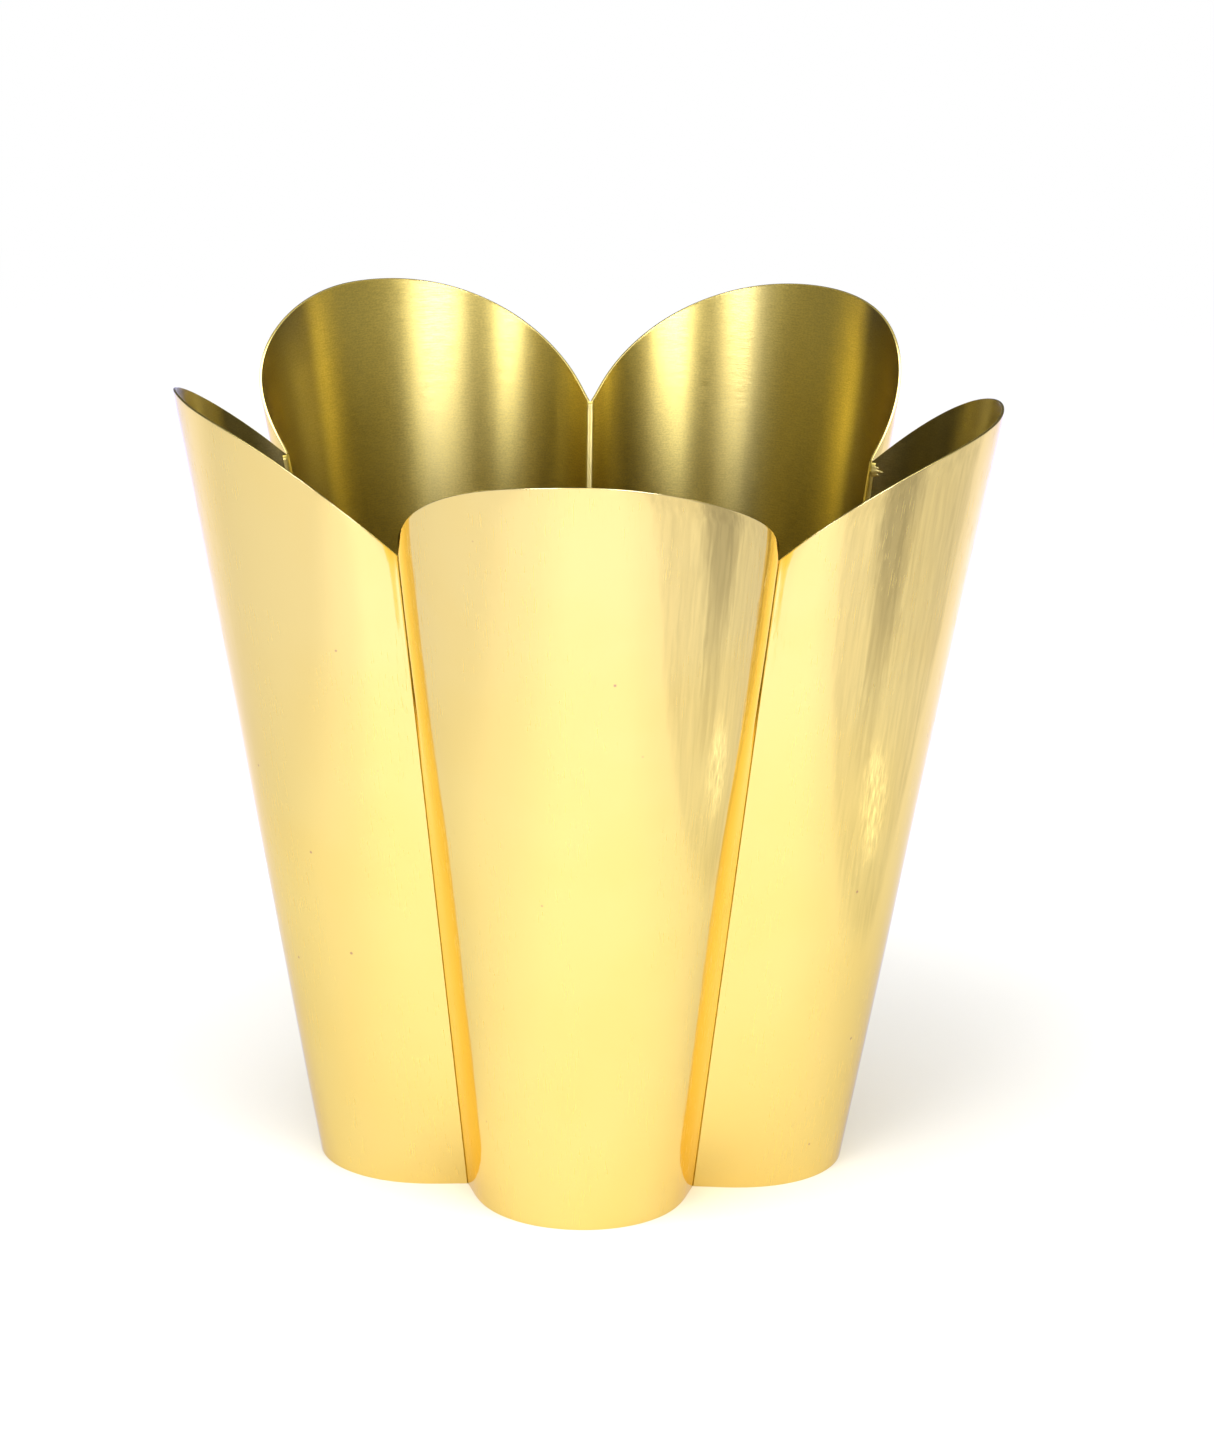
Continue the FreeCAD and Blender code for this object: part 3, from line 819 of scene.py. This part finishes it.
def painted_glint(g, place, strokes):
    """What a painted glint, a small bright thing seen only in the metal, adds, broken up into strokes."""
    offset = g.add("VectorMath", {0: place, 1: GLINT}, operation="SUBTRACT").outputs[0]
    offset = g.add("VectorMath", {0: offset, 1: GLINT_SHAPE}, operation="MULTIPLY").outputs[0]
    away = g.add("VectorMath", {0: offset}, operation="LENGTH").outputs["Value"]
    glint = g.math("MULTIPLY", g.span(away, *GLINT_SIZE), g.span(strokes, *GLINT_BREAKS))
    return g.math("MULTIPLY_ADD", glint, GLINT_GAIN, 1.0)


def painted_floor_reflection(g, place, distance):
    """How bright the floor is in the metal, a painted reflection: a pool of light in front, duller flanks,
    painted things at the right.
    """
    x, y, _z = g.add("SeparateXYZ", {0: place}).outputs
    turn = g.math("MULTIPLY", g.math("ARCTAN2", y, x), 180.0 / math.pi)

    def radial_noise(cells, detail, roughness):
        polar = g.vector(g.math("MULTIPLY", turn, cells[0]), g.math("MULTIPLY", distance, cells[1]))
        return g.noise(polar, 1.0, detail, roughness, "2D")

    spokes = radial_noise(SPOKES, detail=2.0, roughness=0.6)
    strokes = radial_noise(STROKES, detail=1.0, roughness=0.5)
    from_middle = g.math("ABSOLUTE", g.math("SUBTRACT", x, POOL_MIDDLE_X))
    # painted reflection: these shades exist only in the floor as the metal sees it
    shades = (
        painted_board_reflection(g, place, x, y, spokes),
        painted_stand_reflection(g, distance, turn, spokes),
        painted_glint(g, place, strokes),
        g.span(x, *POOL_LEFT),
        g.span(x, *POOL_RIGHT),
        g.span(from_middle, *POOL_CORE),
        g.span(y, *POOL_BEHIND),
        g.span(distance, *POOL_FOOT),
        g.span(distance, *POOL_FAR),
    )
    level = PAINTED_REFLECTION_LEVEL
    for shade in shades:
        level = g.math("MULTIPLY", level, shade)
    return level


def make_floor():
    """A white sweep. The camera sees it plain; the metal sees a painted reflection on it, a pool of light
    with duller and brighter patches.
    """
    material, g = new_material("floor_white")
    place = g.add("TexCoord").outputs["Object"]
    distance = g.add("VectorMath", {0: place}, operation="LENGTH").outputs["Value"]
    rays = g.add("LightPath").outputs
    tint = g.mix(g.noise(place, 3.0, detail=2.0, roughness=0.5), FLOOR_WHITE, FLOOR_WHITER)
    # painted reflection: only glossy rays see the floor's brightness changed in patches and tinted, the
    # camera doesn't
    shade = g.math("SUBTRACT", painted_floor_reflection(g, place, distance), 1.0)
    level = g.math("ADD", 1.0, g.math("MULTIPLY", rays["Is Glossy Ray"], shade))
    painted_reflection_tint = g.mix(g.span(distance, *TINT_CHANGE), PAINTED_TINT_NEAR, PAINTED_TINT_FAR)
    tint = g.mix(rays["Is Glossy Ray"], tint, painted_reflection_tint)
    colour = g.add("VectorMath", {0: tint, 3: level}, operation="SCALE").outputs[0]
    near = g.add("BsdfDiffuse", {"Color": colour}).outputs[0]
    far = g.add("Emission", {"Color": WHITE, "Strength": 1.0}).outputs[0]
    fade = g.math("MULTIPLY", rays["Is Camera Ray"], g.span(distance, *FLOOR_TO_WHITE))
    shader = g.add("MixShader", {0: fade, 1: near, 2: far})
    g.add("OutputMaterial", {"Surface": shader.outputs[0]})
    corners = [(x * FLOOR_REACH, y * FLOOR_REACH, 0) for x, y in ((-1, -1), (1, -1), (1, 1), (-1, 1))]
    floor = add_mesh("floor", corners, [(0, 1, 2, 3)], materials=[material])
    floor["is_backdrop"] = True


# ---------------------------------------------------------------- room and lamps

HAZE = (1.0, 0.98, 1.0, 1.0)   # of the room, low down
ROOM_TINT = (1.0, 0.93, 0.58, 1.0)
ZENITH_TINT = (1.0, 1.0, 0.95, 1.0)
REAR_LEVEL = 0.12              # the unlit room behind the pot
SIDE_LEVEL = 0.32              # at its sides
RIGHT_LEVEL = 0.16             # added at the right
FRONT_LEVEL = 0.86             # and round the camera
CEILING_LEVEL = 0.52
ZENITH_LEVEL = 3.0             # lamps right above the pot, as the metal sees them

# Where these set in, along one axis of the direction looked in.
SIDE_SPAN = (0.30, -0.25)      # y
RIGHT_SPAN = (0.30, 0.80)      # x
FRONT_SPAN = (-0.45, -0.95)    # y
FRONT_HEIGHT = (0.08, 0.20, 1.0, 0.15)  # z: the bright front is low
TINT_SPAN = (0.08, 0.22)       # z
CEILING_SPAN = (0.45, 0.80)    # z
ZENITH_SPAN = (0.86, 0.93)     # z


def make_world():
    """A dim room under a bright ceiling; the camera itself sees plain white behind the pot."""
    world = bpy.data.worlds.new("studio")
    bpy.context.scene.world = world
    world.use_nodes = True
    g = Graph(world.node_tree)
    x, y, z = g.add("SeparateXYZ", {0: g.add("TexCoord").outputs["Generated"]}).outputs
    rays = g.add("LightPath").outputs
    level = g.span(y, *SIDE_SPAN, REAR_LEVEL, SIDE_LEVEL)
    level = g.math("ADD", level, g.span(x, *RIGHT_SPAN, 0.0, RIGHT_LEVEL))
    front = g.math("MULTIPLY", g.span(y, *FRONT_SPAN), g.span(z, *FRONT_HEIGHT))
    level = g.math("MULTIPLY_ADD", front, FRONT_LEVEL - SIDE_LEVEL, level)
    to_ceiling = g.math("SUBTRACT", CEILING_LEVEL, level)
    level = g.math("ADD", level, g.math("MULTIPLY", g.span(z, *CEILING_SPAN), to_ceiling))
    level = g.math("MAXIMUM", level, rays["Is Camera Ray"])
    tint = g.mix(g.span(z, *TINT_SPAN), HAZE, ROOM_TINT)
    colour = g.mix(rays["Is Glossy Ray"], WHITE, tint)
    room = g.add("Background", {"Color": colour, "Strength": level}).outputs[0]
    zenith = g.math("MULTIPLY", rays["Is Glossy Ray"], g.span(z, *ZENITH_SPAN, 0.0, ZENITH_LEVEL))
    lamps = g.add("Background", {"Color": ZENITH_TINT, "Strength": zenith}).outputs[0]
    both = g.add("AddShader", {0: room, 1: lamps})
    g.add("OutputWorld", {"Surface": both.outputs[0]})


LIGHT_RADIANCE = 4.0      # watts of an area light, per square metre and unit of radiance
SOFT_LAMPS = {  # these light the floor: place, size and radiance
    "key": ((-0.62, -0.70, 1.8), (1.4, 1.4), 3.45),
    "fill": ((0.75, -0.65, 1.8), (1.4, 1.4), 1.9),
    "overhead": ((0.0, 0.0, 2.0), (3.0, 3.0), 0.73),
}
STRIPS = {  # and these are only mirrored in the metal: direction in degrees, size
    "strip_right": (-66, (0.72, 0.64)),
    "strip_left": (-112, (0.44, 0.64)),
}
STRIP_DISTANCE = 1.5
STRIP_HEIGHT = 0.46
STRIP_RADIANCE = 6.4
STRIP_COLOUR = (1.0, 1.02, 1.5)


def area_light(name, place, size, radiance):
    """A soft rectangular lamp, aimed at the pot, that the camera doesn't see."""
    light = bpy.data.lights.new(name, "AREA")
    light.shape = "RECTANGLE"
    light.size, light.size_y = size
    light.energy = LIGHT_RADIANCE * radiance * size[0] * size[1]
    lamp = bpy.data.objects.new(name, light)
    lamp.location = place
    aim = Vector((0.0, 0.0, PEAK_Z / 2)) - Vector(place)
    lamp.rotation_euler = aim.to_track_quat("-Z", "Y").to_euler()
    lamp.visible_camera = False
    bpy.context.scene.collection.objects.link(lamp)
    return lamp


def make_lights():
    for name, (place, size, radiance) in SOFT_LAMPS.items():
        lamp = area_light(name, place, size, radiance)
        lamp.visible_glossy = False
    for name, (azimuth, size) in STRIPS.items():
        turn = math.radians(azimuth)
        place = (STRIP_DISTANCE * math.cos(turn), STRIP_DISTANCE * math.sin(turn), STRIP_HEIGHT)
        lamp = area_light(name, place, size, STRIP_RADIANCE)
        lamp.data.color = STRIP_COLOUR
        lamp.visible_diffuse = False


# ---------------------------------------------------------------- camera

CAMERA_DISTANCE = 2.0195   # in front of the pot's axis
CAMERA_HEIGHT = 0.8112
CAMERA_PITCH = -0.31906    # radians, looking down
CAMERA_PAN = -0.00333
CAMERA_ROLL = -0.01384
CAMERA_LENS = 164.9


def make_camera():
    camera = bpy.data.cameras.new("camera")
    camera.sensor_width = 36.0
    camera.lens = CAMERA_LENS
    holder = bpy.data.objects.new("camera", camera)
    aim = Matrix.Rotation(CAMERA_PAN, 3, "Z") @ Matrix.Rotation(CAMERA_PITCH, 3, "X")
    c, s = math.cos(CAMERA_ROLL), math.sin(CAMERA_ROLL)
    right, up, back = aim @ Vector((c, 0, -s)), aim @ Vector((s, 0, c)), aim @ Vector((0, -1, 0))
    turn = Matrix((right, up, back)).transposed().to_4x4()
    holder.matrix_world = Matrix.Translation((0, -CAMERA_DISTANCE, CAMERA_HEIGHT)) @ turn
    bpy.context.scene.collection.objects.link(holder)
    bpy.context.scene.camera = holder


# ---------------------------------------------------------------- build

def build():
    petal_materials = [polished_brass(), brushed_brass(), cut_edge_brass()]
    solder = brazing_solder()
    for number, (label, direction) in enumerate(PETALS.items()):
        petal = make_petal(label, direction, number, petal_materials)
        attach(petal, "root")
        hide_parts(label)
    for number, (label, direction) in enumerate(SEAMS.items()):
        seam = make_seam(label, direction, number, solder)
        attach(seam, "root")
        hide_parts(label)
    plate = make_base_plate("base_plate", base_brass())
    bead = make_bead("base_solder_bead", solder)
    for piece, node, slot in ((plate, "base_plate", "base_brass"), (bead, "base_solder_bead", "solder")):
        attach(piece, "root")
        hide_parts(node)
    make_floor()
    make_world()
    make_lights()
    make_camera()
    bpy.context.scene.view_settings.view_transform = "Standard"


build()
boxes = {"cad": cad_box, "visual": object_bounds()}
{k: [list(map(float, corner)) for corner in v] for k, v in boxes.items()}
